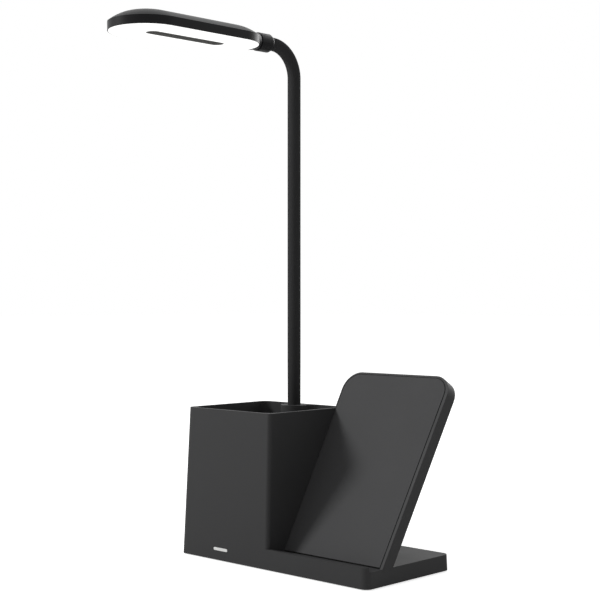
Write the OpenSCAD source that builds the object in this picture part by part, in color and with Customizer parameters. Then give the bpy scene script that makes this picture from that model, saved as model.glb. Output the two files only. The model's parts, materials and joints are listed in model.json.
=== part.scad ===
// Desk lamp with a pen cup, a slab base and a tilted phone charging panel.
// Millimetres. X points right, Y to the back, Z up. The origin is the middle of
// the base's underside, on the table.

/* [Base] */
// Width of the base at the table
base_w = 190; // [170:1:230]
// Depth of the base at the table
base_d = 93; // [84:1:120]
// Height of the slab behind the phone panel, from the housing's underside
slab_h = 11.5; // [11:0.1:15]
// Height of the front lip that stops the phone
lip_h = 14.6; // [13.5:0.1:20]
// Thickness of the front lip at its top
lip_t = 3; // [2:0.1:5]
// Inward lean of the outer walls, in degrees
wall_draft = 1.9; // [0.5:0.1:3]
// Radius of the base's vertical corners
corner_r = 5.5; // [3:0.5:10]
// Thickness of the base's side walls and of the slab's skin
skin_t = 2.4; // [1.6:0.1:3]
// How far the anti-slip pad stands below the housing
pad_proud = 0.8; // [0.4:0.1:1.5]

/* [Pen cup] */
// Height of the pen cup, from the housing's underside
cup_h = 112.8; // [95:0.1:130]
// Width of the pen cup at the table
cup_w = 95; // [85:1:110]
// Inward lean of the cup's wall beside the panel, in degrees
cup_side_draft = 0.5; // [0.2:0.1:2]
// Thickness of the cup's wall
cup_wall = 3; // [2:0.1:4]
// Radius of the cup's inner vertical corners
cup_inner_r = 8; // [4:0.5:12]
// Radius of the cup's front corner beside the panel
cup_edge_r = 3; // [1:0.5:6]
// Height of the cup's floor, from the housing's underside
cup_floor_z = 17; // [15:0.5:25]
// Radius of the column in the cup that carries the arm
column_r = 10.5; // [10:0.5:13]
// Radius of the fillets where the column joins the cup's back wall
column_fillet_r = 7; // [4:0.5:9]

/* [Phone panel] */
// Lean of the panel back from vertical, in degrees
panel_tilt = 29.8; // [25:0.1:35]
// Length of the panel along its slope
panel_len = 148.2; // [136:0.2:160]
// Thickness of the panel
panel_t = 9.9; // [9.5:0.1:13]
// Distance of the panel's foot behind the base's front edge
panel_setback = 16.8; // [15:0.1:20]
// Outward lean of the panel's right edge, in degrees
panel_flare = 2; // [0:0.1:3]
// Radius of the panel's top corners
panel_corner_r = 14.6; // [9:0.2:22]
// Width of the rim right of the front plate
rim_w = 2.3; // [1.6:0.1:3.5]
// Width of the groove between that rim and the front plate
groove_w = 0.9; // [0.5:0.1:1.5]
// Width of the rim above the front plate
rim_top_w = 1.5; // [1:0.1:3.5]
// Thickness of the front plate
plate_t = 2.2; // [1.6:0.1:2.8]
// Outer diameter of the charging coil
coil_d = 44; // [36:1:52]
// Height of the coil's centre along the panel's slope
coil_s = 84; // [70:1:100]

/* [Arm and neck] */
// Diameter of the arm
arm_d = 10.3; // [9.4:0.1:12]
// Height of the arm's straight part, from the housing's underside
arm_h = 370.5; // [300:0.5:420]
// Distance of the arm's axis in front of the cup's back edge
arm_setback = 13.2; // [12:0.1:18]
// Radius of the bend at the top, on the arm's axis
bend_r = 24; // [22:0.5:40]
// Diameter of the balls in the neck
ball_d = 9; // [8:0.1:9.4]
// Free length of ball that shows at each joint of the neck
ball_show = 2; // [1.9:0.1:3]
// Diameter of the steel ferrule at the arm's foot
ferrule_d = 8.6; // [8:0.1:9.6]
// Length of the socket that holds the ferrule
socket_len = 30; // [20:1:45]
// Diameter of the collar at the head
collar_d = 14.2; // [13:0.1:15.2]

/* [Lamp head] */
// Width of the lamp head
head_w = 56.2; // [50:0.2:70]
// Length of the lamp head
head_l = 128.2; // [110:0.2:150]
// Slope of the head down to the front, in degrees
head_droop = 0.8; // [0:0.1:3]
// Height of the head's side band
band_h = 6.3; // [6:0.1:9]
// Height of the domed top above the side band
dome_h = 7.3; // [5.5:0.1:9]
// Distance from the head's edge to the level part of the domed top
dome_run = 19.6; // [14:0.2:23]
// Gap between the end of the bend and the head
neck_len = 25.3; // [22:0.1:40]
// Height of the arm's axis above the lens face at the head
axis_rise = 7.1; // [6.8:0.1:9]
// Width of the dark rim that shows round the lens
bezel_w = 0.5; // [0.4:0.1:1]
// Thickness of the head's side band above the lens
frame_wall = 1.6; // [1.4:0.1:2.4]
// Thickness of the head's top
head_wall = 1.6; // [1.2:0.1:2.2]
// Width of the dark recess in the lens
slot_w = 11.3; // [8:0.1:16]
// Length of the dark recess in the lens
slot_l = 71.9; // [50:0.1:84]
// Depth of the dark recess
slot_depth = 3.2; // [2.8:0.1:3.6]
// Number of light-emitting diodes
led_count = 30; // [12:2:36]

/* [Front indicator] */
// Distance of the indicator's centre from the left edge of the base
indicator_x = 45; // [30:0.5:60]
// Height of the indicator's centre, from the housing's underside
indicator_z = 8.2; // [7.5:0.1:10]
// Width of the indicator
indicator_w = 15; // [10:0.2:20]
// Height of the indicator
indicator_h = 2.3; // [2:0.1:3.5]

/* [Hidden] */

$fn = 64;
far = 400;               // longer than any cut needs to be
face_gap = 0.3;          // gap between faces of pieces that move on each other
seat_gap = 0.15;         // gap round a piece that drops into a recess
run_gap = 0.05;          // radial gap of a running fit
arc_steps = 10;          // segments in a quarter of a rounded corner

// ---- base and cup
lean = tan(wall_draft);
cup_lean = tan(cup_side_draft);
left_x = -base_w / 2;
right_x = base_w / 2;
front_y = -base_d / 2;
back_y = base_d / 2;
cup_x = left_x + cup_w;                      // outer face of the cup's right wall, at the table
function cup_right(z) = cup_x - cup_lean * z;
function base_right(z) = right_x - lean * z;
arm_x = (left_x + lean * cup_h + cup_right(cup_h)) / 2;
arm_y = back_y - lean * cup_h - arm_setback;
cup_back_r = 3;                              // radius of the cup's back corner beside the panel

cavity_gap = skin_t + 0.4;                   // side walls lean, so the cavity keeps a little clear
cavity_top = slab_h - skin_t;
cup_cavity_top = cup_floor_z - skin_t;
lip_slope = 0.3;                             // lean of the front lip's back
cover_t = 2;
cover_gap = 0.2;
pad_t = pad_proud + 0.5;
pad_inset = 14;
post_d = 6.4;
post_inset = 8.5;
screw_d = 2.6;
screw_head_d = 4.6;
screw_head_h = 1.0;
screw_len = 6;
thread_cut = 0.4;        // a screw's hole is this much narrower than its clearance hole
post_x = [left_x + post_inset + 1, cup_x + 4, right_x - post_inset - 1];
post_y = [front_y + post_inset, back_y - post_inset];

// ---- arm foot
nut_room_d = 14.4;
nut_d = 13;
nut_h = 5;
washer_t = 0.8;
web_z = cup_h - socket_len;                  // underside of the web that carries the arm
sleeve_sink = 2;                             // how far the sleeve sits in the column's top

// ---- board and socket
board_z = 6.2;
board_t = 1.6;
board_edge = [14, 6.5];                      // of the board, from the base's left and front
board_size = [58, 31.5];
board_x = [left_x + board_edge[0], left_x + board_edge[0] + board_size[0]];
board_y = [front_y + board_edge[1], front_y + board_edge[1] + board_size[1]];
board_hole_in = 4;                           // of its screw holes, from its edges
chip_size = [4, 5, 2.4];
chip_count = 5;
chip_pitch = 7;
chip_at = [14, 18];                          // first chip, from the board's corner
cap_d = 5;
cap_h = 4.5;
cap_at = [14, 9];                            // from the board's right front corner
led_size = [3.2, 1.8, 1.1];
socket_x = left_x + 24;
socket_size = [8.9, 8, 3.2];
socket_z = board_z + board_t + socket_size[2] / 2;
socket_board_size = [18, 15];

// ---- panel
foot_y = front_y + panel_setback;
foot_z = slab_h;
tilt_cos = cos(panel_tilt);
function panel_z(s) = foot_z + s * tilt_cos;
panel_sink = 4;                              // how far the panel's root runs into the slab
side_inset = 0.05;
plate_sink = 0.2;
plate_foot = 2.6;                            // groove between the panel's foot and the plate
panel_tuck = 0.4;                            // how far the panel's left edge lies inside the cup's wall
rim_left_w = 0.7;                            // rim left of the front plate
groove_left_w = 0.15;                        // groove beside it, and along the plate's top
step_w = 2;                                  // ledge that the plate lies on
pocket_depth = plate_sink + plate_t;
tray_floor = 2;
tray_depth = panel_t - tray_floor;
rim_clear = rim_w + groove_w;
notch_s = (cup_h - 0.5 - foot_z) / tilt_cos; // below here the panel runs deeper into the cup's wall
function panel_right(s) = base_right(panel_z(min(s, 0))) - side_inset + max(s, 0) * tan(panel_flare);
function panel_left(s) = cup_right(panel_z(s)) - panel_tuck;
hollow_s = 12;                               // lower end of the hollow behind the plate
lead_slot_w = 14;
lead_slot_x = cup_x + 22;
lead_slot_s = [-14, 16];
lead_slot_roof = 1.2;
coil_x = (cup_x + right_x) / 2;
coil_t = 1.4;
coil_bore = 18;
ferrite_t = 0.8;
ferrite_margin = 3;
charger_size = [52, 30];
charger_t = 1.2;
charger_s = 34;
charger_chip = [6, 6, 1.6];
charger_chip_pitch = 14;

// ---- ballast
ballast_t = 5;
ballast_gap = 6;
ballast_edge = 12;                           // from the base's front and back

// ---- neck: distances along the arm's axis, from the start of the bend
bend_turn = 90 + head_droop;
bend_len = PI * bend_r * bend_turn / 180;
joint_s = [for (i = [0:3]) i * bend_len / 3 - ball_show];
function bend_angle(s) = bend_turn * s / bend_len;
neck_axis_z = arm_h + bend_r * sin(bend_turn);
bend_end_y = arm_y - bend_r * (1 - cos(bend_turn));
ball_gap = 0.15;
core_d = 6.4;
wire_d = 3;
core_top_gap = ball_d / 2 + 3;

// ---- head
collar_gap = 8.2;                            // distance from the head's end to the collar
collar_chamfer = 2.6;
collar_rear = 3;                             // collar ends this far before the bend
collar_l = neck_len - collar_gap - collar_rear;
gusset_end_d = collar_d - 1.2;
gusset_w = 28;
gusset_h = 11.5;
gusset_in = 9;
lens_t = 2.2;
lens_skirt = 1;
lens_in = 0.1;                               // how far the lens's face lies inside the rim
rebate_h = 1;                                // height of the step that the lens's edge lies in
board_ring_z = 4.4;
board_ring_t = 1.0;
board_rib = 1.6;
board_hole_w = 9;
board_hole_l = 60;
led_w = 2.8;
led_h = 0.7;
trim_wall = 1;
trim_flange = 1.2;
trim_flange_t = 0.7;
dome_steps = 8;
straight_l = head_l - head_w;                // length of the head's straight sides
head_post_d = 4.4;
head_post_in = 7.5;                          // from the head's side to the screws
head_post_x = head_w / 2 - head_post_in;
head_post_y = [-straight_l / 2, 0, straight_l / 2];
head_screw_d = 2;
head_screw_l = 4;
head_screw_head = 1;
led_path_r = (head_w / 2 - frame_wall + slot_w / 2) / 2;
led_path_l = 2 * straight_l + 2 * PI * led_path_r;

plastic_c = [0.13, 0.13, 0.135];
panel_c = [0.16, 0.16, 0.165];
gloss_c = [0.05, 0.05, 0.055];
steel_c = [0.6, 0.62, 0.64];
rubber_c = [0.1, 0.1, 0.1];
lens_c = [0.97, 0.97, 0.95];
board_c = [0.1, 0.32, 0.2];
copper_c = [0.72, 0.42, 0.25];
ferrite_c = [0.22, 0.2, 0.2];

// ---- shared shapes

// Points of an arc about c
function arc(c, r, a0, a1, n = arc_steps) =
    [for (i = [0:n]) c + r * [cos(a0 + (a1 - a0) * i / n), sin(a0 + (a1 - a0) * i / n)]];

// Rounded rectangle from [x0, y0] to [x1, y1], counterclockwise from its back right corner
function rounded(x0, x1, y0, y1, r_left, r_right) = concat(
    arc([x1 - r_right, y1 - r_right], r_right, 0, 90),
    arc([x0 + r_left, y1 - r_left], r_left, 90, 180),
    arc([x0 + r_left, y0 + r_left], r_left, 180, 270),
    arc([x1 - r_right, y0 + r_right], r_right, 270, 360));

// Solid between two outlines with the same number of points
module loft(low, high, z0, z1) {
    n = len(low);
    polyhedron(
        points = concat([for (p = low) [p[0], p[1], z0]], [for (p = high) [p[0], p[1], z1]]),
        faces = concat(
            [[for (i = [0:n - 1]) i]],
            [[for (i = [n - 1:-1:0]) n + i]],
            [for (i = [0:n - 1]) [i, n + i, n + (i + 1) % n, (i + 1) % n]]));
}

module rounded_slab(x0, x1, y0, y1, r, h) {
    linear_extrude(h) polygon(rounded(x0, x1, y0, y1, r, r));
}

module raised() {
    translate([0, 0, pad_proud]) children();
}

// Frame of the panel: X stays, Y runs up the slope, Z points out of the front
module on_panel() {
    translate([0, foot_y, foot_z]) rotate([90 - panel_tilt, 0, 0]) children();
}

// Stadium w wide and l long, along Y
module stadium(w, l) {
    square([w, l - w], center = true);
    for (side = [-1, 1]) translate([0, side * (l - w) / 2]) circle(d = w);
}

module hex_bar(across_corners, h) {
    cylinder(d = across_corners, h = h, $fn = 6);
}

// ---- base housing

// Outer outline of the base and cup as one leaning block, at height z
function block_outline(z) = rounded(
    left_x + lean * z, right_x - lean * z, front_y + lean * z, back_y - lean * z, corner_r, corner_r);

// Space right of the cup, with the cup's two rounded edges left standing, at height z
function right_space(z) = let (
        x = cup_right(z),
        y0 = front_y + lean * z,
        y1 = back_y - lean * z,
        r0 = cup_edge_r,
        r1 = cup_back_r)
    concat(
        [[far, far], [x - r1, far]],
        arc([x - r1, y1 - r1], r1, 90, 0),
        arc([x - r0, y0 + r0], r0, 360, 270),
        [[x - r0, -far], [far, -far]]);

// Everything above the slab, the channel that a phone stands in and the front lip
module above_slab() {
    inner_y = front_y + lean * lip_h + lip_t;
    rotate([90, 0, 90]) translate([0, 0, -far])
        linear_extrude(2 * far) polygon([
            [-far, lip_h], [inner_y, lip_h], [inner_y + lip_slope, slab_h],
            [far, slab_h], [far, far], [-far, far]]);
}

module block() {
    top = cup_h;
    difference() {
        loft(block_outline(0), block_outline(top), 0, top);
        intersection() {
            loft(right_space(-1), right_space(top + 1), -1, top + 1);
            above_slab();
        }
    }
}

function cup_outline(z) = rounded(
    left_x + lean * z + cup_wall, cup_right(z) - cup_wall,
    front_y + lean * z + cup_wall, back_y - lean * z - cup_wall, cup_inner_r, cup_inner_r);

// Column of the cup's back wall that holds the arm, with its two fillets
module column(extra = 0) {
    reach = back_y - arm_y + 1;
    wall_y = back_y - lean * cup_h - cup_wall - arm_y;
    r = column_fillet_r;
    linear_extrude(cup_h + 2) {
        circle(r = column_r + extra);
        translate([-column_r - extra, 0]) square([2 * (column_r + extra), reach]);
        for (side = [-1, 1])
            difference() {
                translate([side > 0 ? column_r - 0.5 : -column_r - r, wall_y - r])
                    square([r + 0.5, reach - wall_y + r]);
                translate([side * (column_r + r), wall_y - r]) circle(r = r);
            }
    }
}

module cup_space() {
    top = cup_h + 0.5;
    difference() {
        loft(cup_outline(cup_floor_z), cup_outline(top), cup_floor_z, top);
        translate([arm_x, arm_y, 0]) column();
    }
}

// Right and top sides of the panel or of a piece inset in it, from its lower right corner
// at s0 to the end of its top left corner
function panel_edge(s0, right, top, left) = let (
        r1 = panel_corner_r - (right + top) / 2,
        r0 = panel_corner_r - (left + top) / 2,
        s1 = panel_len - top - r1,
        s2 = panel_len - top - r0)
    concat(
        [[panel_right(s0) - right, s0]],
        s0 < 0 ? [[panel_right(0) - right, 0]] : [],
        arc([panel_right(s1) - (right + r1) / cos(panel_flare), s1], r1, -panel_flare, 90),
        arc([panel_left(s2) + left + r0, s2], r0, 90, 180));

// Outline of a piece inset in the panel
function panel_outline(s0, right, top, left) = concat(
    panel_edge(s0, right, top, left), [[panel_left(s0) + left, s0]]);

module panel_block() {
    root = cup_wall / 2 - panel_tuck;
    on_panel() translate([0, 0, -panel_t]) linear_extrude(panel_t)
        polygon(concat(
            panel_edge(-panel_sink, 0, 0, 0),
            [[panel_left(notch_s), notch_s], [panel_left(notch_s) - root, notch_s],
            [panel_left(-panel_sink) - root, -panel_sink]]));
}

// Recess that the front plate lies in
module plate_recess() {
    on_panel() translate([0, 0, -pocket_depth]) linear_extrude(pocket_depth + 5)
        polygon(panel_outline(0, rim_w, rim_top_w, rim_left_w));
}

// Hollow of the panel behind the plate, and the slot for its lead
module panel_hollow() {
    inset = rim_clear + step_w;
    on_panel() {
        translate([0, 0, -tray_depth]) linear_extrude(tray_depth)
            polygon(panel_outline(hollow_s, inset, inset, inset));
        translate([lead_slot_x, lead_slot_s[0], -tray_depth])
            cube([lead_slot_w, lead_slot_s[1] - lead_slot_s[0], tray_depth - pocket_depth - lead_slot_roof]);
    }
}

module base_space() {
    difference() {
        union() {
            translate([0, 0, -1])
                rounded_slab(left_x + cavity_gap, right_x - cavity_gap, front_y + cavity_gap,
                    back_y - cavity_gap, corner_r - skin_t, cavity_top + 1);
            translate([0, 0, -1])
                rounded_slab(left_x + cavity_gap, cup_x - cup_wall - 1, front_y + cavity_gap,
                    back_y - cavity_gap, corner_r - skin_t, cup_cavity_top + 1);
        }
        for (x = post_x, y = post_y)
            translate([x, y, cover_t + 0.05]) cylinder(d = post_d, h = cup_floor_z);
        for (p = board_posts())
            translate([p[0], p[1], board_z + board_t]) cylinder(d = 5, h = cup_floor_z);
        translate([arm_x, arm_y, cover_t + 4]) cylinder(r = column_r, h = cup_floor_z);
    }
}

function board_posts() = [for (x = [board_x[0] + board_hole_in, board_x[1] - board_hole_in],
    y = [board_y[0] + board_hole_in, board_y[1] - board_hole_in]) [x, y]];

module usb_shape(grow, length) {
    w = socket_size[0] + 2 * grow;
    h = socket_size[2] + 2 * grow;
    rotate([-90, 0, 0]) linear_extrude(length) {
        square([w - h, h], center = true);
        for (side = [-1, 1]) translate([side * (w - h) / 2, 0]) circle(d = h);
    }
}

module indicator_shape(grow, length) {
    w = indicator_w + 2 * grow;
    h = indicator_h + 2 * grow;
    rotate([-90, 0, 0]) linear_extrude(length) {
        square([w - h, h], center = true);
        for (side = [-1, 1]) translate([side * (w - h) / 2, 0]) circle(d = h);
    }
}

module base_housing() {
    color(plastic_c) raised() difference() {
        union() {
            block();
            panel_block();
        }
        cup_space();
        base_space();
        plate_recess();
        panel_hollow();
        for (x = post_x, y = post_y)
            translate([x, y, 0]) cylinder(d = screw_d - thread_cut, h = screw_len + screw_head_h + 0.3);
        for (p = board_posts())
            translate([p[0], p[1], board_z]) cylinder(d = screw_d - thread_cut, h = screw_len - 0.9);
        translate([arm_x, arm_y, -1]) cylinder(d = nut_room_d, h = web_z + 1);
        translate([arm_x, arm_y, 0]) cylinder(d = ferrule_d + 2 * run_gap, h = cup_h + 1);
        translate([arm_x, arm_y, cup_h - sleeve_sink]) cylinder(d = arm_d + 2 * face_gap, h = far);
        translate([socket_x, back_y - cavity_gap - 3, socket_z]) usb_shape(0.35, 10);
        translate([left_x + indicator_x, front_y - 3, indicator_z]) indicator_shape(seat_gap / 2, 10);
    }
}

// ---- underside

module bottom_cover() {
    gap = cavity_gap + cover_gap;
    color(plastic_c) raised() difference() {
        rounded_slab(left_x + gap, right_x - gap, front_y + gap, back_y - gap, corner_r - skin_t, cover_t);
        translate([0, 0, -1]) rounded_slab(left_x + pad_inset, right_x - pad_inset,
            front_y + pad_inset, back_y - pad_inset, corner_r, 1 + pad_t - pad_proud);
        for (x = post_x, y = post_y) {
            translate([x, y, -1]) cylinder(d = screw_d + 0.4, h = cover_t + 2);
            translate([x, y, -1]) cylinder(d = screw_head_d + 0.4, h = 1 + screw_head_h);
        }
    }
}

module non_slip_pad() {
    color(rubber_c)
        rounded_slab(left_x + pad_inset + seat_gap, right_x - pad_inset - seat_gap,
            front_y + pad_inset + seat_gap, back_y - pad_inset - seat_gap, corner_r - seat_gap, pad_t);
}

module cover_screws() {
    color(steel_c) raised() for (x = post_x, y = post_y) translate([x, y, 0]) {
        cylinder(d = screw_head_d, h = screw_head_h);
        cylinder(d = screw_d - thread_cut, h = screw_len + screw_head_h);
    }
}

module ballast_plate() {
    x0 = cup_x + lead_slot_w + ballast_gap;
    color(steel_c) raised() translate([0, 0, cover_t])
        rounded_slab(x0, right_x - post_inset - post_d - 2, front_y + ballast_edge, back_y - ballast_edge,
            3, ballast_t);
}

// ---- electronics in the base

module control_board() {
    color(board_c) raised() difference() {
        union() {
            translate([0, 0, board_z])
                rounded_slab(board_x[0], board_x[1], board_y[0], board_y[1], 2, board_t);
            for (i = [0:chip_count - 1])
                translate([board_x[0] + chip_at[0] + chip_pitch * i, board_y[0] + chip_at[1], board_z + board_t])
                    cube(chip_size);
            translate([board_x[1] - cap_at[0], board_y[0] + cap_at[1], board_z + board_t])
                cylinder(d = cap_d, h = cap_h);
        }
        for (p = board_posts()) translate([p[0], p[1], board_z - 1]) cylinder(d = screw_d, h = board_t + 2);
    }
}

module board_screws() {
    color(steel_c) raised() for (p = board_posts()) translate([p[0], p[1], board_z - screw_head_h]) {
        cylinder(d = screw_head_d, h = screw_head_h);
        cylinder(d = screw_d - thread_cut, h = screw_len);
    }
}

module status_led() {
    color(lens_c) raised()
        translate([left_x + indicator_x - led_size[0] / 2, board_y[0] + 0.3, board_z + board_t]) cube(led_size);
}

module indicator_lens() {
    y0 = front_y + lean * indicator_z - 0.05;
    color(lens_c) raised() translate([left_x + indicator_x, y0, indicator_z])
        indicator_shape(-seat_gap / 2, board_y[0] - 0.1 - y0);
}

module usb_c_socket() {
    color(steel_c) raised()
        translate([socket_x, back_y - 1.2 - socket_size[1], socket_z]) difference() {
            usb_shape(0, socket_size[1]);
            translate([0, 1, 0]) usb_shape(-0.4, socket_size[1]);
        }
}

module socket_board() {
    y1 = back_y - cavity_gap - 0.4;
    color(board_c) raised() translate([0, 0, board_z])
        rounded_slab(socket_x - socket_board_size[0] / 2, socket_x + socket_board_size[0] / 2,
            y1 - socket_board_size[1], y1, 1, board_t);
}

// ---- phone panel

module panel_plate() {
    color(panel_c) raised() on_panel() translate([0, 0, -pocket_depth]) linear_extrude(plate_t)
        polygon(panel_outline(plate_foot, rim_clear, rim_top_w + groove_left_w, rim_left_w + groove_left_w));
}

module charging_coil() {
    color(copper_c) raised() on_panel()
        translate([coil_x, coil_s, -pocket_depth - coil_t]) linear_extrude(coil_t) difference() {
            circle(d = coil_d);
            circle(d = coil_bore);
        }
}

module ferrite_sheet() {
    size = coil_d + 2 * ferrite_margin;
    color(ferrite_c) raised() on_panel()
        translate([coil_x, coil_s, -pocket_depth - coil_t - ferrite_t])
            rounded_slab(-size / 2, size / 2, -size / 2, size / 2, 3, ferrite_t);
}

module charger_board() {
    color(board_c) raised() on_panel() translate([coil_x, charger_s, -tray_depth]) {
        rounded_slab(-charger_size[0] / 2, charger_size[0] / 2, -charger_size[1] / 2, charger_size[1] / 2, 2,
            charger_t);
        for (i = [-1:1])
            translate([charger_chip_pitch * i - charger_chip[0] / 2, -charger_chip[1] / 2, charger_t])
                cube(charger_chip);
    }
}

// ---- arm

module friction_washer() {
    color(rubber_c) raised() translate([arm_x, arm_y, web_z - washer_t]) difference() {
        cylinder(d = nut_room_d - 0.4, h = washer_t);
        translate([0, 0, -1]) cylinder(d = ferrule_d + 2 * run_gap, h = washer_t + 2);
    }
}

module foot_nut() {
    color(steel_c) raised() translate([arm_x, arm_y, web_z - washer_t - face_gap - nut_h]) difference() {
        hex_bar(nut_d, nut_h);
        translate([0, 0, -1]) cylinder(d = ferrule_d, h = nut_h + 2);
    }
}

module arm_ferrule() {
    low = web_z - washer_t - face_gap - nut_h - 1;
    color(steel_c) raised() translate([arm_x, arm_y, low]) difference() {
        cylinder(d = ferrule_d, h = cup_h - sleeve_sink + face_gap + 10 - low);
        translate([0, 0, -1]) cylinder(d = wire_d + 0.5, h = far);
        translate([0, 0, cup_h - sleeve_sink + face_gap - low]) cylinder(d = core_d, h = far);
    }
}

module arm_core() {
    z0 = cup_h - sleeve_sink + face_gap;
    z1 = arm_h + joint_s[0] - core_top_gap;
    color(steel_c) raised() translate([arm_x, arm_y, z0]) difference() {
        cylinder(d = core_d, h = z1 - z0);
        translate([0, 0, -1]) cylinder(d = wire_d, h = far);
    }
}

module arm_sleeve() {
    z0 = cup_h - sleeve_sink + face_gap;
    z1 = arm_h + joint_s[0];
    color(rubber_c) raised() translate([arm_x, arm_y, 0]) {
        difference() {
            translate([0, 0, z0]) cylinder(d = arm_d, h = z1 - z0);
            translate([0, 0, z0 - 1]) cylinder(d = core_d, h = z1 - z0 - core_top_gap + 1);
            translate([0, 0, z0 - 1]) cylinder(d = ferrule_d, h = 11);
        }
        translate([0, 0, z1]) sphere(d = ball_d);
    }
}

// ---- neck

// Puts children on the axis of the neck, s past the start of the bend, with Z along the axis
module at_neck(s) {
    a = s < 0 ? 0 : bend_angle(s);
    z = arm_h + (s < 0 ? s : bend_r * sin(a));
    y = arm_y - bend_r * (1 - cos(a));
    translate([arm_x, y, z]) rotate([a, 0, 0]) children();
}

// Round bar along the bend from s0 to s1
module neck_bar(s0, s1, d) {
    a0 = bend_angle(s0);
    translate([arm_x, arm_y - bend_r, arm_h]) rotate([90, 0, 90]) rotate([0, 0, a0])
        rotate_extrude(angle = bend_angle(s1) - a0) translate([bend_r, 0]) circle(d = d);
}

// One link: a bar with a socket at its lower joint and a ball at its upper one
module neck_link(i) {
    s0 = joint_s[i];
    s1 = joint_s[i + 1];
    color(rubber_c) raised() {
        difference() {
            neck_bar(s0 + ball_show, s1, arm_d);
            at_neck(s0) sphere(d = ball_d + 2 * ball_gap);
        }
        at_neck(s1) sphere(d = ball_d);
    }
}

// Puts children at the end of the bend, with Z along the axis to the head
module at_bend_end() {
    translate([arm_x, bend_end_y, neck_axis_z]) rotate([bend_turn, 0, 0]) children();
}

module neck_end() {
    s0 = joint_s[3];
    color(rubber_c) raised() {
        difference() {
            at_bend_end() cylinder(d = arm_d, h = neck_len + frame_wall - 0.1);
            at_neck(s0) sphere(d = ball_d + 2 * ball_gap);
        }
    }
}

module neck_collar() {
    bore = arm_d / 2 + run_gap / 2;
    r = collar_d / 2;
    color(gloss_c) raised() at_bend_end() translate([0, 0, neck_len - collar_gap]) rotate([180, 0, 0])
        rotate_extrude() polygon([
            [bore, 0], [r, 0], [r, collar_l - collar_chamfer], [bore + 0.5, collar_l], [bore, collar_l]]);
}

// ---- lamp head

module at_head() {
    raised() translate([arm_x, bend_end_y, neck_axis_z]) rotate([head_droop, 0, 0])
        translate([0, -neck_len - head_l / 2, -axis_rise]) children();
}

// Closed shape with the head's plan outline, turned and drawn from a half profile at X >= 0
module turned_head() {
    for (end = [0, 1]) rotate([0, 0, 180 * end]) translate([0, straight_l / 2, 0])
        rotate_extrude(angle = 180) children();
    translate([0, straight_l / 2, 0]) rotate([90, 0, 0]) linear_extrude(straight_l) {
        children();
        mirror([1, 0, 0]) children();
    }
}

// Height of a dome h high, d inside its edge
function dome_z(d, h) = let (u = min(d / dome_run, 1)) h * u * (2 - u);

// Half profile of the dome
function dome_profile(inset) = let (
        r = head_w / 2 - inset,
        h = dome_h - inset)
    concat(
        [[0, 0], [r, 0]],
        [for (i = [1:dome_steps]) [r - dome_run * i / dome_steps, dome_z(dome_run * i / dome_steps, h)]],
        [[0, h]]);

// Flared neck between the collar and the head, split along the head's parting line
module gusset() {
    hull() {
        translate([0, head_l / 2 + collar_gap, axis_rise]) rotate([90, 0, 0])
            cylinder(d = gusset_end_d, h = 0.5, $fn = 32);
        translate([0, head_l / 2 - gusset_in, axis_rise - 1]) rotate([90, 0, 0]) linear_extrude(0.5)
            for (side = [-1, 1]) translate([side * (gusset_w - gusset_h) / 2, 0])
                circle(d = gusset_h, $fn = 32);
    }
}

module neck_bore() {
    translate([0, head_l / 2 - frame_wall, axis_rise]) rotate([-90, 0, 0])
        cylinder(d = arm_d + run_gap, h = far);
}

module head_frame() {
    inner_w = head_w - 2 * frame_wall;
    inner_l = head_l - 2 * frame_wall;
    color(gloss_c) at_head() difference() {
        union() {
            linear_extrude(band_h) stadium(head_w, head_l);
            intersection() {
                gusset();
                translate([-far, 0, 0]) cube([2 * far, far, band_h]);
            }
        }
        translate([0, 0, -1]) linear_extrude(1 + rebate_h)
            stadium(head_w - 2 * bezel_w, head_l - 2 * bezel_w);
        translate([0, 0, -1]) linear_extrude(1 + board_ring_z + board_ring_t + 0.05) stadium(inner_w, inner_l);
        translate([0, 0, -1]) linear_extrude(far)
            stadium(inner_w - 2 * board_rib, inner_l - 2 * board_rib);
        neck_bore();
    }
}

module head_top() {
    post_top = band_h + dome_z(head_post_in - head_wall, dome_h - head_wall);
    color(gloss_c) at_head() {
        difference() {
            union() {
                translate([0, 0, band_h]) turned_head() polygon(dome_profile(0));
                intersection() {
                    gusset();
                    translate([-far, 0, band_h]) cube([2 * far, far, far]);
                }
            }
            translate([0, 0, band_h]) turned_head() translate([0, -0.02]) polygon(dome_profile(head_wall));
            neck_bore();
        }
        for (y = head_post_y, side = [-1, 1]) translate([side * head_post_x, y, board_ring_z + board_ring_t])
            difference() {
                cylinder(d = head_post_d, h = post_top - board_ring_z - board_ring_t);
                translate([0, 0, -1]) cylinder(d = head_screw_d, h = head_screw_l);
            }
    }
}

module lens_ring() {
    w = head_w - 2 * frame_wall - 2 * seat_gap;
    l = head_l - 2 * frame_wall - 2 * seat_gap;
    edge = 2 * (frame_wall - bezel_w);
    color(lens_c) at_head() difference() {
        union() {
            translate([0, 0, lens_in]) linear_extrude(rebate_h - seat_gap - lens_in) stadium(w + edge, l + edge);
            translate([0, 0, lens_in]) linear_extrude(board_ring_z - lens_in - 0.2) stadium(w, l);
        }
        translate([0, 0, lens_t]) linear_extrude(far) stadium(w - 2 * lens_skirt, l - 2 * lens_skirt);
        translate([0, 0, -1]) linear_extrude(far) stadium(slot_w, slot_l);
    }
}

module centre_trim() {
    color(panel_c) at_head() difference() {
        union() {
            translate([0, 0, lens_in]) linear_extrude(slot_depth + trim_wall - lens_in)
                stadium(slot_w - 2 * seat_gap, slot_l - 2 * seat_gap);
            translate([0, 0, lens_t]) linear_extrude(trim_flange_t)
                stadium(slot_w + 2 * trim_flange, slot_l + 2 * trim_flange);
        }
        translate([0, 0, -1]) linear_extrude(slot_depth + 1)
            stadium(slot_w - 2 * trim_wall, slot_l - 2 * trim_wall);
    }
}

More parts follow.
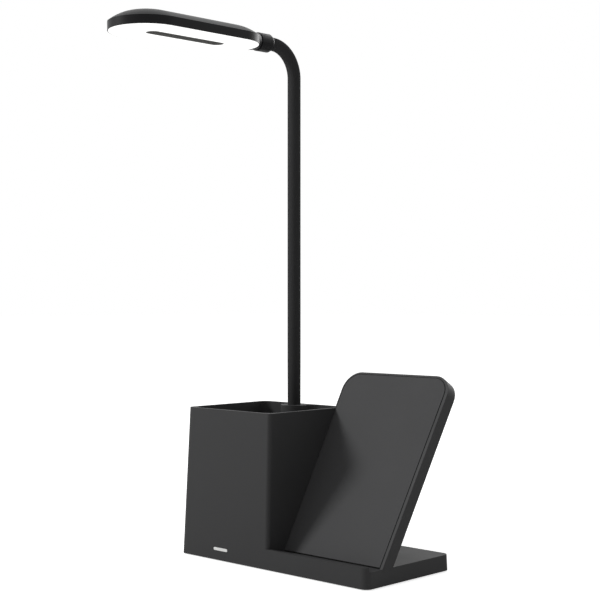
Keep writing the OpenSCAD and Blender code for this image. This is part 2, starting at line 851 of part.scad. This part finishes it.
module led_board() {
    color(board_c) at_head() translate([0, 0, board_ring_z]) linear_extrude(board_ring_t) difference() {
        stadium(head_w - 2 * frame_wall - 0.4, head_l - 2 * frame_wall - 0.4);
        stadium(board_hole_w, board_hole_l);
        for (y = head_post_y, side = [-1, 1]) translate([side * head_post_x, y]) circle(d = head_screw_d + 0.3);
    }
}

// Point and heading at distance s round the ring of diodes
function ring_at(s) = let (
        half = PI * led_path_r,
        lap = s % (straight_l + half),
        turn = floor(s / (straight_l + half)) * 180,
        p = lap < straight_l
            ? [led_path_r, lap - straight_l / 2, 0]
            : let (a = 180 * (lap - straight_l) / half)
                [led_path_r * cos(a), straight_l / 2 + led_path_r * sin(a), a])
    [p[0] * cos(turn) - p[1] * sin(turn), p[0] * sin(turn) + p[1] * cos(turn), p[2] + turn];

module leds() {
    color(lens_c) at_head() for (i = [0:led_count - 1]) {
        p = ring_at((i + 0.5) * led_path_l / led_count);
        translate([p[0], p[1], board_ring_z - led_h / 2]) rotate([0, 0, p[2]])
            cube([led_w, led_w, led_h], center = true);
    }
}

module head_screws() {
    color(steel_c) at_head() for (y = head_post_y, side = [-1, 1])
        translate([side * head_post_x, y, board_ring_z - head_screw_head]) {
            cylinder(d = 2 * head_screw_d - 0.4, h = head_screw_head);
            cylinder(d = head_screw_d, h = head_screw_l);
        }
}

base_housing();
bottom_cover();
non_slip_pad();
cover_screws();
ballast_plate();
control_board();
board_screws();
status_led();
indicator_lens();
usb_c_socket();
socket_board();
panel_plate();
charging_coil();
ferrite_sheet();
charger_board();
friction_washer();
foot_nut();
arm_ferrule();
arm_core();
arm_sleeve();
neck_link(0);  // neck_link_1
neck_link(1);  // neck_link_2
neck_link(2);  // neck_link_3
neck_end();
neck_collar();
head_frame();
head_top();
lens_ring();
centre_trim();
led_board();
leds();
head_screws();
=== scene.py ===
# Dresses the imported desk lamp: matte charcoal base with pen cup and phone panel,
# a slim sleeved arm with a bent neck, and a flat LED head.
import json
import math

import bmesh
import bpy
from mathutils import Matrix, Vector


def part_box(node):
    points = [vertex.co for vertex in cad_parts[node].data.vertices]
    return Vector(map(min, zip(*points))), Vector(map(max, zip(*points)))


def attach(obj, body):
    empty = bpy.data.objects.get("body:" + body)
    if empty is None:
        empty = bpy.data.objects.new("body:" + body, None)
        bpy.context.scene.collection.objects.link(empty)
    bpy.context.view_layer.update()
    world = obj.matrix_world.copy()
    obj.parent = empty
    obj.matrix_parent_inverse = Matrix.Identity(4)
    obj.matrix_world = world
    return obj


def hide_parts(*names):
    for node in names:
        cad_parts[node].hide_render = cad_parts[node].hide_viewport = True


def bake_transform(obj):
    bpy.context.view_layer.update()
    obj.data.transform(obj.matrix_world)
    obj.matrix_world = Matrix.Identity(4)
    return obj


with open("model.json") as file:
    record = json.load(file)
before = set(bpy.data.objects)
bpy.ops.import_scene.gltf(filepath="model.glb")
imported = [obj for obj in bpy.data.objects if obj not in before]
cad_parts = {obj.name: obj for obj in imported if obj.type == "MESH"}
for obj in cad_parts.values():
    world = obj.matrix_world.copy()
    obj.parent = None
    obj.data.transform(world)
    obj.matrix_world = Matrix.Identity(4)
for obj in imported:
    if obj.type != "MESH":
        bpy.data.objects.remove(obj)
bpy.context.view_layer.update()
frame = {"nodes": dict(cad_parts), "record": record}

MM = 0.001
PAD_PROUD = 0.8 * MM        # the housing stands this far above the table, on its pad

# Sizes that this script shares with the solids
CUP_H = 112.8 * MM + PAD_PROUD
SLEEVE_SINK = 1.7 * MM
ARM_D = 10.3 * MM
ARM_TOP = 370.5 * MM + PAD_PROUD
BEND_R = 24 * MM
HEAD_DROOP = math.radians(0.8)
BEND_LEN = (math.pi / 2 + HEAD_DROOP) * BEND_R
ARM_X, ARM_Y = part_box("arm_sleeve")[0][0] + ARM_D / 2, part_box("arm_sleeve")[0][1] + ARM_D / 2
BALL_SHOW = 2 * MM
NECK_JOINTS = [i * BEND_LEN / 3 - BALL_SHOW for i in range(4)]


def add_object(name, data):
    thing = bpy.data.objects.new(name, data)
    bpy.context.scene.collection.objects.link(thing)
    return thing


# ---------------------------------------------------------------- materials

def new_material(name):
    material = bpy.data.materials.new(name)
    material.use_nodes = True
    nodes, links = material.node_tree.nodes, material.node_tree.links
    shader = nodes["Principled BSDF"]
    return material, nodes, links, shader


def add_noise(nodes, links, scale, detail=3.0, rough=0.55):
    place = nodes.new("ShaderNodeTexCoord")
    noise = nodes.new("ShaderNodeTexNoise")
    noise.inputs["Scale"].default_value = scale
    noise.inputs["Detail"].default_value = detail
    noise.inputs["Roughness"].default_value = rough
    links.new(place.outputs["Object"], noise.inputs["Vector"])
    return noise


def ramp_between(nodes, links, source, low, high, start=0.3, end=0.7):
    """Turns a noise into a value that runs from low to high."""
    spread = nodes.new("ShaderNodeMapRange")
    spread.inputs["From Min"].default_value = start
    spread.inputs["From Max"].default_value = end
    spread.inputs["To Min"].default_value = low
    spread.inputs["To Max"].default_value = high
    links.new(source, spread.inputs["Value"])
    return spread.outputs["Result"]


def tint_between(nodes, links, source, dark, light, start=0.35, end=0.65):
    ramp = nodes.new("ShaderNodeValToRGB")
    ramp.color_ramp.elements[0].position = start
    ramp.color_ramp.elements[0].color = (*dark, 1)
    ramp.color_ramp.elements[1].position = end
    ramp.color_ramp.elements[1].color = (*light, 1)
    links.new(source, ramp.inputs["Fac"])
    return ramp.outputs["Color"]


def add_bump(nodes, links, shader, height, strength, distance):
    bump = nodes.new("ShaderNodeBump")
    bump.inputs["Strength"].default_value = strength
    bump.inputs["Distance"].default_value = distance
    links.new(height, bump.inputs["Height"])
    links.new(bump.outputs["Normal"], shader.inputs["Normal"])


def moulded_plastic(name, tone, spread=0.1, rough=(0.5, 0.6), grain=2600, bump=0.12, specular=0.5):
    """Matte moulded plastic: a spark-eroded grain, and a faint drift of tone and sheen."""
    material, nodes, links, shader = new_material(name)
    drift = add_noise(nodes, links, 22, 2.0)
    dark = tuple(c * (1 - spread) for c in tone)
    light = tuple(c * (1 + spread) for c in tone)
    links.new(tint_between(nodes, links, drift.outputs["Fac"], dark, light),
              shader.inputs["Base Color"])
    links.new(ramp_between(nodes, links, drift.outputs["Fac"], *rough), shader.inputs["Roughness"])
    fine = add_noise(nodes, links, grain, 4.0, 0.7)
    add_bump(nodes, links, shader, fine.outputs["Fac"], bump, 0.0001)
    shader.inputs["Specular IOR Level"].default_value = specular
    return material


def lit_material(name, colour, strength):
    """Diffusing plastic with light behind it."""
    material, nodes, links, shader = new_material(name)
    soft = add_noise(nodes, links, 35, 1.5)
    tone = tint_between(nodes, links, soft.outputs["Fac"], tuple(c * 0.985 for c in colour), colour)
    links.new(tone, shader.inputs["Base Color"])
    links.new(tone, shader.inputs["Emission Color"])
    shader.inputs["Emission Strength"].default_value = strength
    shader.inputs["Roughness"].default_value = 0.35
    return material


def metal(name, tone, rough=(0.25, 0.4), streak=(30, 30, 900)):
    """Plain machined metal with fine turning or rolling marks."""
    material, nodes, links, shader = new_material(name)
    place = nodes.new("ShaderNodeTexCoord")
    stretch = nodes.new("ShaderNodeMapping")
    stretch.inputs["Scale"].default_value = streak
    noise = nodes.new("ShaderNodeTexNoise")
    noise.inputs["Scale"].default_value = 3
    noise.inputs["Detail"].default_value = 3
    links.new(place.outputs["Object"], stretch.inputs["Vector"])
    links.new(stretch.outputs["Vector"], noise.inputs["Vector"])
    links.new(tint_between(nodes, links, noise.outputs["Fac"], tuple(c * 0.85 for c in tone), tone),
              shader.inputs["Base Color"])
    links.new(ramp_between(nodes, links, noise.outputs["Fac"], *rough), shader.inputs["Roughness"])
    shader.inputs["Metallic"].default_value = 1
    return material


def circuit_board(name, tone):
    """Solder mask with a faint pattern of copper underneath."""
    material, nodes, links, shader = new_material(name)
    place = nodes.new("ShaderNodeTexCoord")
    cells = nodes.new("ShaderNodeTexVoronoi")
    cells.feature = "DISTANCE_TO_EDGE"
    cells.inputs["Scale"].default_value = 260
    links.new(place.outputs["Object"], cells.inputs["Vector"])
    tint = tint_between(nodes, links, cells.outputs["Distance"],
                        tuple(c * 1.7 for c in tone), tone, 0.02, 0.06)
    links.new(tint, shader.inputs["Base Color"])
    shader.inputs["Roughness"].default_value = 0.4
    return material


# Keyed by slot, because the frame brings materials of its own and Blender then numbers equal names
MATERIALS = {
    "housing_plastic": moulded_plastic("housing_plastic", (0.028, 0.028, 0.0288), spread=0.03,
                                       rough=(0.6, 0.66), specular=0.3),
    "panel_plastic": moulded_plastic("panel_plastic", (0.062, 0.062, 0.0634), spread=0.03,
                                     rough=(0.66, 0.74), specular=0.15),
    "arm_silicone": moulded_plastic("arm_silicone", (0.038, 0.038, 0.0388), spread=0.03,
                                    rough=(0.85, 0.92), grain=1800, bump=0.05, specular=0.05),
    "head_gloss": moulded_plastic("head_gloss", (0.010, 0.010, 0.011), rough=(0.33, 0.4),
                                  grain=900, bump=0.02, specular=0.12),
    "lens_white": lit_material("lens_white", (0.97, 0.97, 0.96), 0.75),
    "indicator_white": lit_material("indicator_white", (0.7, 0.7, 0.69), 0.12),
    "trim_dark": moulded_plastic("trim_dark", (0.23, 0.23, 0.222), spread=0.04),
    "steel": metal("steel", (0.56, 0.57, 0.59)),
    "pad_rubber": moulded_plastic("pad_rubber", (0.014, 0.014, 0.014), rough=(0.75, 0.85),
                                  grain=1500, bump=0.3, specular=0.3),
    "board_green": circuit_board("board_green", (0.012, 0.085, 0.04)),
    "coil_copper": metal("coil_copper", (0.72, 0.32, 0.17), (0.2, 0.35), (900, 900, 30)),
    "ferrite": moulded_plastic("ferrite", (0.035, 0.03, 0.03), rough=(0.6, 0.75)),
    "led_white": lit_material("led_white", (0.95, 0.9, 0.7), 0.5),
}
SLOT_OF = {entry["node"]: entry["material_slot"] for entry in frame["record"]["subparts"]}
BODY_OF = {node: body
           for body, nodes in frame["record"]["behaviour"]["bodies"].items() for node in nodes}

for node, piece in frame["nodes"].items():
    piece.data.materials.clear()
    piece.data.materials.append(MATERIALS[SLOT_OF[node]])


# ---------------------------------------------------------------- pieces

MERGE_DIST = 2e-6
FLAT_ANGLE = math.radians(0.4)      # faces that turn by less than this are one flat face


def place_piece(name, mesh, slot, body=None, nodes=()):
    """Makes an object of a mesh in the lamp's frame, hangs it on the body it rides on, and hides the
    nodes it stands for.
    """
    piece = add_object(name, mesh)
    mesh.materials.clear()
    mesh.materials.append(MATERIALS[slot])
    if body:
        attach(piece, body)
    if nodes:
        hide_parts(*nodes)
    return piece


def shade_by_angle(form, angle):
    for face in form.faces:
        face.smooth = True
    for edge in form.edges:
        edge.smooth = len(edge.link_faces) == 2 and edge.calc_face_angle(0) < angle


def evened(mesh):
    """The mesh with its corner normals led by the large faces, so that flat walls look flat."""
    holder = add_object(mesh.name + "_holder", mesh)
    even = holder.modifiers.new("even", "WEIGHTED_NORMAL")
    even.keep_sharp = True
    even.weight = 100
    shaped = holder.evaluated_get(bpy.context.evaluated_depsgraph_get())
    result = bpy.data.meshes.new_from_object(shaped)
    result.name = mesh.name
    bpy.data.objects.remove(holder)
    return result


def merged_form(node):
    """A node's solid as one connected mesh with its flat faces whole."""
    form = bmesh.new()
    form.from_mesh(frame["nodes"][node].data)
    bmesh.ops.remove_doubles(form, verts=form.verts, dist=MERGE_DIST)
    bmesh.ops.dissolve_limit(form, angle_limit=FLAT_ANGLE, verts=form.verts, edges=form.edges)
    return form


def dress(node, name, width=0.0, steps=2, keep=None, angle=32, reshape=None):
    """Replaces a node by its merged copy, with its points moved by reshape() and the edges
    that turn by more than the angle, and that keep() picks, rounded to the width."""
    form = merged_form(node)
    if reshape:
        for corner in form.verts:
            corner.co = reshape(corner.co)
    if width:
        sharp = [e for e in form.edges
                 if len(e.link_faces) == 2 and e.calc_face_angle(0) > math.radians(angle)
                 and (keep is None or keep(e))]
        bmesh.ops.bevel(form, geom=sharp, offset=width, offset_type="OFFSET", segments=steps,
                        profile=0.5, affect="EDGES", clamp_overlap=True)
    shade_by_angle(form, math.radians(angle))
    mesh = bpy.data.meshes.new(name)
    form.to_mesh(mesh)
    form.free()
    return place_piece(name, evened(mesh), SLOT_OF[node], BODY_OF[node], [node])


# ---------------------------------------------------------------- arm and neck

RING_MERGE_DIST = 1e-7
SLEEVE_SIDES = 64
SLEEVE_EDGE = math.radians(40)      # only the end caps turn by more than this
END_STEP = 0.02 * MM        # short steps at both ends keep the end rings square to the arm
ARM_STEP = 20 * MM
NECK_STEP = 1 * MM
SKIN_LEAD = 6 * MM          # the first neck skin starts this far below the first joint
COLLAR_OVERLAP = 6 * MM     # the last one ends this far past the bend, inside the collar


def neck_point(s):
    """Centre of the arm at distance s past the start of the bend."""
    turn = min(max(s, 0), BEND_LEN) / BEND_R
    centre = Vector((ARM_X, ARM_Y - BEND_R * (1 - math.cos(turn)),
                     ARM_TOP + BEND_R * math.sin(turn)))
    heading = Vector((0, -math.sin(turn), math.cos(turn)))
    return centre + heading * (s - turn * BEND_R)


def sleeve_tree():
    """Geometry nodes that draw a round sleeve along a path of edges."""
    tree = bpy.data.node_groups.new("sleeve_on_path", "GeometryNodeTree")
    for label, way, kind in (("Path", "INPUT", "Geometry"), ("Radius", "INPUT", "Float"),
                             ("Sides", "INPUT", "Int"), ("Finish", "INPUT", "Material"),
                             ("Sleeve", "OUTPUT", "Geometry")):
        tree.interface.new_socket(name=label, in_out=way, socket_type="NodeSocket" + kind)
    nodes, links = tree.nodes, tree.links
    given, result = nodes.new("NodeGroupInput"), nodes.new("NodeGroupOutput")
    curve = nodes.new("GeometryNodeMeshToCurve")
    circle = nodes.new("GeometryNodeCurvePrimitiveCircle")
    sweep = nodes.new("GeometryNodeCurveToMesh")
    sweep.inputs["Fill Caps"].default_value = True
    whole = nodes.new("GeometryNodeRealizeInstances")
    finish = nodes.new("GeometryNodeSetMaterial")
    links.new(given.outputs["Path"], curve.inputs["Mesh"])
    links.new(given.outputs["Radius"], circle.inputs["Radius"])
    links.new(given.outputs["Sides"], circle.inputs["Resolution"])
    links.new(curve.outputs["Curve"], sweep.inputs["Curve"])
    links.new(circle.outputs["Curve"], sweep.inputs["Profile Curve"])
    links.new(sweep.outputs["Mesh"], whole.inputs["Geometry"])
    links.new(whole.outputs["Geometry"], finish.inputs["Geometry"])
    links.new(given.outputs["Finish"], finish.inputs["Material"])
    links.new(finish.outputs["Geometry"], result.inputs["Sleeve"])
    return tree


def grown_mesh(name, seed_mesh, tree, values):
    """Runs a tree on a seed mesh and gives the plain mesh that comes out."""
    seed = add_object(name + "_seed", seed_mesh)
    grow = seed.modifiers.new("grow", "NODES")
    grow.node_group = tree
    sockets = {item.name: item.identifier for item in tree.interface.items_tree
               if item.item_type == "SOCKET" and item.in_out == "INPUT"}
    for label, value in values.items():
        grow[sockets[label]] = value
    shaped = seed.evaluated_get(bpy.context.evaluated_depsgraph_get())
    mesh = bpy.data.meshes.new_from_object(shaped)
    mesh.name = name
    seed.modifiers.clear()
    bpy.data.objects.remove(seed)
    form = bmesh.new()
    form.from_mesh(mesh)
    bmesh.ops.remove_doubles(form, verts=form.verts, dist=RING_MERGE_DIST)
    bmesh.ops.recalc_face_normals(form, faces=form.faces)
    shade_by_angle(form, SLEEVE_EDGE)
    form.to_mesh(mesh)
    form.free()
    return mesh


SLEEVE_TREE = sleeve_tree()


def sleeve_mesh(name, s0, s1, step):
    """A closed round bar along the arm from s0 to s1."""
    rows = max(2, round((s1 - s0) / step))
    inner = [s0 + (s1 - s0) * row / rows for row in range(1, rows)]
    stations = [s0, s0 + END_STEP, *inner, s1 - END_STEP, s1]
    path = bpy.data.meshes.new(name + "_path")
    path.from_pydata([neck_point(s) for s in stations],
                     [(row, row + 1) for row in range(len(stations) - 1)], [])
    return grown_mesh(name, path, SLEEVE_TREE,
                      {"Radius": ARM_D / 2, "Sides": SLEEVE_SIDES,
                       "Finish": MATERIALS["arm_silicone"]})


middles = [(a + b) / 2 for a, b in zip(NECK_JOINTS[:-1], NECK_JOINTS[1:])]
skin_start = NECK_JOINTS[0] - SKIN_LEAD
collar_inside = BEND_LEN + COLLAR_OVERLAP
arm_foot = CUP_H - SLEEVE_SINK - ARM_TOP

place_piece("arm_skin", sleeve_mesh("arm_skin", arm_foot, skin_start, ARM_STEP), "arm_silicone",
            "arm", ["arm_sleeve"])

stretches = [skin_start, *middles, collar_inside]
covered = ["neck_link_1", "neck_link_2", "neck_link_3", "neck_end"]
for i in range(4):
    start, end = stretches[i], stretches[i + 1]
    name = f"neck_skin_{i + 1}"
    skin = place_piece(name, sleeve_mesh(name, start, end, NECK_STEP), "arm_silicone")
    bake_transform(skin)
    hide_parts(covered[i])


# ---------------------------------------------------------------- base, panel and head

PANEL_TILT = math.radians(29.8)
PANEL_RISE = Vector((0, math.sin(PANEL_TILT), math.cos(PANEL_TILT)))
PANEL_FOOT = Vector((0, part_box("base_housing")[0][1] + 16.8 * MM, 11.5 * MM + PAD_PROUD))
PLATE_FOOT = 2.6 * MM       # the solid plate starts this far up the panel
PLATE_REACH = 1.6 * MM      # its lower edge is taken down by this much
PLATE_EDGE_BAND = 0.5 * MM
LENS_PROUD = 0.25 * MM
LENS_FACE_BAND = 0.3 * MM
LENS_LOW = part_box("lens_ring")[0]

# Where the housing's edges stay as they are, in mm
TABLE_EDGE_Z = 1.0          # at the table
COLUMN_BORE_R = 9.5         # near the arm's axis
SLAB_CORNER_Z = 12.0        # upright facets of the slab's round corners
HOLLOW = (92, 43.2, 11)     # half widths and height of the room under the slab


def reach_foot(point):
    """Takes the plate's lower edge down the panel, so that only a narrow gap is left at its foot."""
    up_panel = (point - PANEL_FOOT).dot(PANEL_RISE)
    return point - PANEL_RISE * PLATE_REACH if up_panel < PLATE_FOOT + PLATE_EDGE_BAND else point


def stand_proud(point):
    """Lowers the faces of the lens and of its insert by LENS_PROUD."""
    lit_face = LENS_LOW[2] + (point.y - LENS_LOW[1]) * math.tan(HEAD_DROOP)
    return point - Vector((0, 0, LENS_PROUD)) if point.z < lit_face + LENS_FACE_BAND else point


def shell_edge(edge):
    """True on the outside edges of the housing that the mould rounds off."""
    if not edge.is_convex:
        return False
    middle = (edge.verts[0].co + edge.verts[1].co) / 2
    x, y, z = middle / MM
    normals = [face.normal for face in edge.link_faces]
    if z < TABLE_EDGE_Z or math.hypot(x - ARM_X / MM, y - ARM_Y / MM) < COLUMN_BORE_R:
        return False
    if z < SLAB_CORNER_Z and all(abs(normal.z) < 0.1 for normal in normals):
        return False
    if any(normal.z < -0.99 for normal in normals):
        return False
    return not (abs(x) < HOLLOW[0] and abs(y) < HOLLOW[1] and z < HOLLOW[2])


dress("base_housing", "housing_shell", 0.6 * MM, 2, shell_edge)
dress("panel_plate", "panel_face", 0.25 * MM, 2, reshape=reach_foot)
dress("indicator_lens", "indicator_window")
dress("neck_collar", "collar", 0.35 * MM, 2)
dress("head_frame", "head_band", 0.3 * MM, 2, angle=50)
dress("head_top", "head_cover")
dress("lens_ring", "lens", reshape=stand_proud)
dress("centre_trim", "lens_insert", reshape=stand_proud)
dress("bottom_cover", "underside")
dress("non_slip_pad", "grip_pad", 0.3 * MM, 2)


# ---------------------------------------------------------------- studio

FLOOR_REACH = 12
FLOOR_COLOUR = (0.8, 0.8, 0.8)
FLOOR_SHOWN = 0.75          # glow that only the camera sees, so that the lit floor looks white
SKY_STRENGTH = 0.33


def studio_material(name, colour, shown):
    """Pale surface that the camera sees nearly white, and that keeps the lamp's shadow."""
    material, nodes, links, shader = new_material(name)
    shader.inputs["Base Color"].default_value = (*colour, 1)
    shader.inputs["Roughness"].default_value = 1
    shader.inputs["Specular IOR Level"].default_value = 0
    path = nodes.new("ShaderNodeLightPath")
    glow = nodes.new("ShaderNodeEmission")
    glow.inputs["Strength"].default_value = shown
    both = nodes.new("ShaderNodeAddShader")
    pick = nodes.new("ShaderNodeMixShader")
    out = nodes["Material Output"]
    links.new(shader.outputs["BSDF"], both.inputs[0])
    links.new(glow.outputs["Emission"], both.inputs[1])
    links.new(path.outputs["Is Camera Ray"], pick.inputs["Fac"])
    links.new(shader.outputs["BSDF"], pick.inputs[1])
    links.new(both.outputs["Shader"], pick.inputs[2])
    links.new(pick.outputs["Shader"], out.inputs["Surface"])
    return material


def studio_floor():
    mesh = bpy.data.meshes.new("studio_floor")
    form = bmesh.new()
    bmesh.ops.create_grid(form, x_segments=1, y_segments=1, size=FLOOR_REACH)
    form.to_mesh(mesh)
    form.free()
    mesh.materials.append(studio_material("studio_floor", FLOOR_COLOUR, FLOOR_SHOWN))
    return add_object("studio_floor", mesh)


def studio_world():
    """Soft even light that the camera and glossy surfaces see as plain white."""
    world = bpy.data.worlds.new("studio")
    bpy.context.scene.world = world
    world.use_nodes = True
    nodes, links = world.node_tree.nodes, world.node_tree.links
    sky, shown = nodes["Background"], nodes.new("ShaderNodeBackground")
    for background, strength in ((sky, SKY_STRENGTH), (shown, 1)):
        background.inputs["Color"].default_value = (1, 1, 1, 1)
        background.inputs["Strength"].default_value = strength
    path = nodes.new("ShaderNodeLightPath")
    seen, seen_all = nodes.new("ShaderNodeMath"), nodes.new("ShaderNodeMath")
    seen.operation = seen_all.operation = "MAXIMUM"
    pick = nodes.new("ShaderNodeMixShader")
    links.new(path.outputs["Is Camera Ray"], seen.inputs[0])
    links.new(path.outputs["Is Transmission Ray"], seen.inputs[1])
    links.new(seen.outputs["Value"], seen_all.inputs[0])
    links.new(path.outputs["Is Glossy Ray"], seen_all.inputs[1])
    links.new(seen_all.outputs["Value"], pick.inputs["Fac"])
    links.new(sky.outputs["Background"], pick.inputs[1])
    links.new(shown.outputs["Background"], pick.inputs[2])
    links.new(pick.outputs["Shader"], nodes["World Output"].inputs["Surface"])


def area_lamp(name, place, aim, side, watts):
    """A square lamp at a place, turned to what it lights."""
    data = bpy.data.lights.new(name, "AREA")
    data.shape = "RECTANGLE"
    data.size, data.size_y, data.energy = side, side, watts
    lamp = add_object(name, data)
    lamp.location = place
    lamp.rotation_euler = (Vector(aim) - Vector(place)).to_track_quat("-Z", "Y").to_euler()


floor = studio_floor()
studio_world()
area_lamp("key", place=(-1.48, -1.61, 1.50), aim=(0.02, -0.02, 0.09), side=0.6, watts=40)
area_lamp("back", place=(-0.17, 1.9, 1.19), aim=(0, 0, 0.09), side=1.4, watts=18)

# The level camera that was fitted to edges in the photo
PICTURE_PX = 600
FOCAL_PX = 1276
SENSOR = 36
CAMERA_PLACE = (0.65477, -0.69843, 0.19558 + PAD_PROUD)
CAMERA_YAW = math.radians(43.647)
CAMERA_LEVEL = math.radians(90)

camera_data = bpy.data.cameras.new("photo_camera")
camera_data.sensor_width = SENSOR
camera_data.lens = SENSOR * FOCAL_PX / PICTURE_PX
camera = add_object("photo_camera", camera_data)
camera.location = CAMERA_PLACE
camera.rotation_euler = (Matrix.Rotation(CAMERA_YAW, 3, "Z")
                         @ Matrix.Rotation(CAMERA_LEVEL, 3, "X")).to_euler()
bpy.context.scene.camera = camera
bpy.context.scene.view_settings.view_transform = "Standard"
